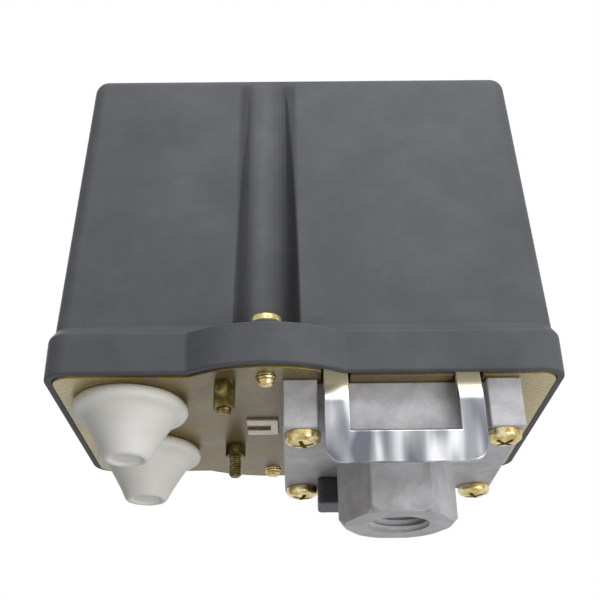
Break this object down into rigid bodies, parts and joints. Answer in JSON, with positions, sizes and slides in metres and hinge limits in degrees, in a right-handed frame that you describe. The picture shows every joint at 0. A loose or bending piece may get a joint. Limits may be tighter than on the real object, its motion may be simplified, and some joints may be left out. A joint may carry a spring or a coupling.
{
  "type": "pressure switch",
  "caption": "Compressor pressure switch: grey plastic cover, steel base plate, hexagonal threaded port, rubber cable grommets and an unloader yoke, with lever, springs and contacts inside.",
  "frame": {"origin": "centre of the pressure port's mouth", "axes": "+Z from the port up through the cover; -Y is the front with the unloader yoke; +X to the right, the cable grommets lie towards -X"},
  "size_m": [0.106, 0.0726, 0.1079],
  "materials": {
    "cover_plastic": "satin moulded grey",
    "yellow_zinc_plate": "yellow zinc chromate, faintly iridescent",
    "yellow_zinc_screws": "bright yellow zinc",
    "olive_zinc_studs": "olive zinc chromate",
    "grommet_rubber": "soft white, matt",
    "cast_aluminium": "die-cast, satin",
    "turned_aluminium": "turned",
    "black_plastic": "moulded, matt",
    "diaphragm_rubber": "matt black",
    "bright_steel": "bright zinc",
    "bright_plated_steel": "bright plated sheet",
    "spring_steel": "drawn wire, oiled",
    "brown_phenolic": "moulded phenolic",
    "black_phenolic": "moulded phenolic",
    "contact_brass": "stamped brass with silver tips"
  },
  "bodies": {
    "base": {"base_plate": "yellow_zinc_plate", "cable_grommet_front": "grommet_rubber", "cable_grommet_rear": "grommet_rubber", "pressure_housing": "cast_aluminium", "housing_screws": "yellow_zinc_screws", "side_port_plug": "black_plastic", "diaphragm": "diaphragm_rubber", "mechanism_frame": "yellow_zinc_plate", "spring_bridge": "yellow_zinc_plate", "bridge_screws": "yellow_zinc_screws", "lever_pin": "bright_steel", "pin_clips": "spring_steel", "range_spring": "spring_steel", "differential_spring": "spring_steel", "snap_spring": "spring_steel", "contact_block": "black_phenolic", "line_contacts": "contact_brass", "load_contacts": "contact_brass", "terminal_screws": "bright_steel", "clamp_washers": "bright_steel", "block_screws": "olive_zinc_studs", "block_nuts": "olive_zinc_studs", "earth_screw": "yellow_zinc_screws", "earth_clamp": "bright_steel", "carrier_pin": "bright_steel", "yoke_pin": "bright_steel"},
    "cover": {"cover": "cover_plastic", "cover_screws": "yellow_zinc_screws"},
    "plunger": {"plunger": "turned_aluminium"},
    "main_lever": {"main_lever": "yellow_zinc_plate"},
    "range_screw": {"range_screw": "yellow_zinc_screws"},
    "range_nut": {"range_nut": "bright_steel"},
    "differential_screw": {"differential_screw": "yellow_zinc_screws"},
    "differential_nut": {"differential_nut": "bright_steel"},
    "contact_carrier": {"contact_carrier": "brown_phenolic", "contact_bridges": "contact_brass", "contact_springs": "spring_steel"},
    "unloader_yoke": {"unloader_yoke": "bright_plated_steel"}
  },
  "joints": [
    {"name": "cover_lift", "type": "slide", "parent": "base", "child": "cover", "axis": [0, 0, 1], "range_m": [0, 0.085]},
    {"name": "lever_travel", "type": "hinge", "parent": "base", "child": "main_lever", "pos_m": [0.019, 0, 0.03895], "axis": [0, 1, 0], "range_deg": [0, 3], "deforming": ["snap_spring"]},
    {"name": "plunger_travel", "type": "slide", "parent": "base", "child": "plunger", "axis": [0, 0, 1], "range_m": [0, 0.00099484]},
    {"name": "contact_opening", "type": "hinge", "parent": "base", "child": "contact_carrier", "pos_m": [-0.014, 0, 0.061], "axis": [0, -1, 0], "range_deg": [0, 8]},
    {"name": "yoke_swing", "type": "hinge", "parent": "base", "child": "unloader_yoke", "pos_m": [0, -0.0193, 0.0285], "axis": [-1, 0, 0], "range_deg": [0, 4.5]},
    {"name": "range_screw_turn", "type": "hinge", "parent": "base", "child": "range_screw", "pos_m": [0, 0, 0.075], "axis": [0, 0, 1], "range_deg": [-720.1, 720.1]},
    {"name": "range_nut_travel", "type": "slide", "parent": "base", "child": "range_nut", "axis": [0, 0, 1], "range_m": [-0.002, 0.002], "deforming": ["range_spring"]},
    {"name": "differential_screw_turn", "type": "hinge", "parent": "base", "child": "differential_screw", "pos_m": [0.0124, 0, 0.075], "axis": [0, 0, 1], "range_deg": [-720.1, 720.1]},
    {"name": "differential_nut_travel", "type": "slide", "parent": "base", "child": "differential_nut", "axis": [0, 0, 1], "range_m": [-0.0014, 0.0014], "deforming": ["differential_spring"]}
  ],
  "couplings": [
    {"joint": "lever_travel", "follows": "plunger_travel", "rad_per_m": 52.632},
    {"joint": "contact_opening", "follows": "plunger_travel", "rad_per_m": 140.35},
    {"joint": "yoke_swing", "follows": "plunger_travel", "rad_per_m": 78.947},
    {"joint": "range_screw_turn", "follows": "range_nut_travel", "rad_per_m": -6283.2},
    {"joint": "differential_screw_turn", "follows": "differential_nut_travel", "rad_per_m": -8976}
  ]
}
